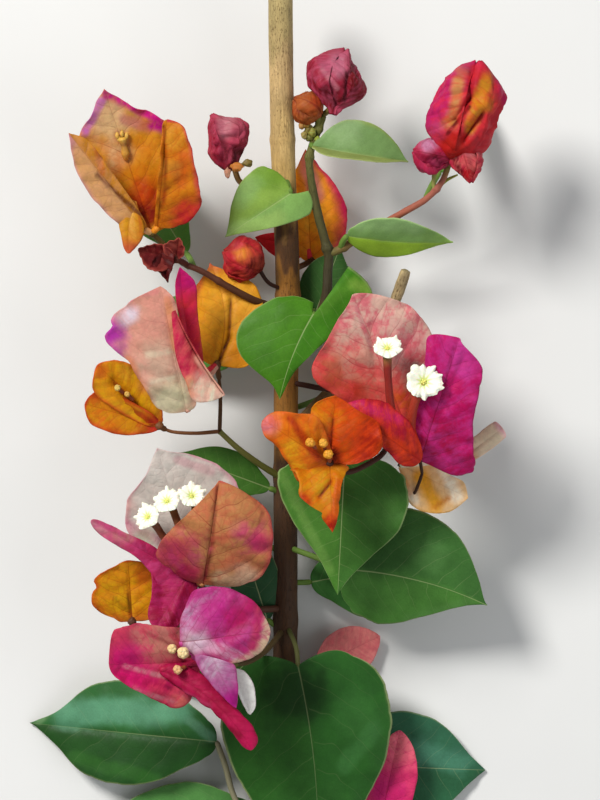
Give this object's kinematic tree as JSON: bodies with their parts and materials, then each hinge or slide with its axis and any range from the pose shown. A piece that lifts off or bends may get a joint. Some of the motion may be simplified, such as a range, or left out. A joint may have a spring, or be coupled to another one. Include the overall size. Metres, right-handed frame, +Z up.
{
  "type": "cut flowering bougainvillea branch",
  "caption": "Cut flowering branch lying on its back, with a straight woody stem, heart-shaped leaves and clusters of papery orange and magenta bracts.",
  "frame": {"origin": "middle of the footprint, on the surface that the branch lies on", "axes": "+Y along the stem from its cut butt to its pruned top, +Z up from the surface, the show side facing up"},
  "size_m": [0.1296, 0.2497, 0.0577],
  "materials": {
    "bark": "dry, finely speckled bark",
    "dark_bark": "dark brown young bark",
    "green_twig": "olive young bark",
    "leaf": "soft satin leaf, paler below",
    "leaf_pale": "young pale leaf",
    "bract_orange": "papery, translucent",
    "bract_peach": "papery, translucent",
    "bract_coral": "papery, translucent",
    "bract_magenta": "papery, translucent",
    "bract_red": "papery, crumpled"
  },
  "bodies": {
    "root": {"bloom_back": "bract_magenta", "bloom_behind_stem": "bract_orange", "bloom_bottom_right": "bract_magenta", "bloom_coral_left": "bract_coral", "bloom_coral_right": "bract_coral", "bloom_magenta_low": "bract_magenta", "bloom_orange_centre": "bract_orange", "bloom_pale_right": "bract_peach", "bloom_peach_left": "bract_peach", "bloom_small_left": "bract_orange", "bloom_small_orange": "bract_orange", "bloom_top_left": "bract_orange", "bloom_young_left": "bract_red", "bud_left": "bract_magenta", "bud_red": "bract_red", "bud_right": "bract_coral", "bud_rust": "bract_red", "bud_top": "bract_magenta", "leaf_back_1": "leaf", "leaf_back_2": "leaf", "leaf_back_3": "leaf", "leaf_back_4": "leaf", "leaf_back_5": "leaf", "leaf_back_6": "leaf", "leaf_back_7": "leaf", "leaf_behind_left": "leaf", "leaf_behind_lower_left": "leaf", "leaf_behind_shoot": "leaf", "leaf_bottom_left": "leaf", "leaf_bottom_right": "leaf", "leaf_dark_centre": "leaf", "leaf_dark_right": "leaf", "leaf_heart_centre": "leaf", "leaf_heart_upper": "leaf_pale", "leaf_lower_large": "leaf", "leaf_lower_left": "leaf", "leaf_right_slim": "leaf_pale", "leaf_top_right": "leaf_pale", "pruned_stub": "bark", "shoot_right": "dark_bark", "stem": "bark", "twig_left": "green_twig", "twig_lower_left": "dark_bark", "twig_middle_left": "dark_bark", "twig_right": "dark_bark", "twig_upper_left": "dark_bark", "twig_upper_right": "dark_bark"}
  },
  "joints": []
}
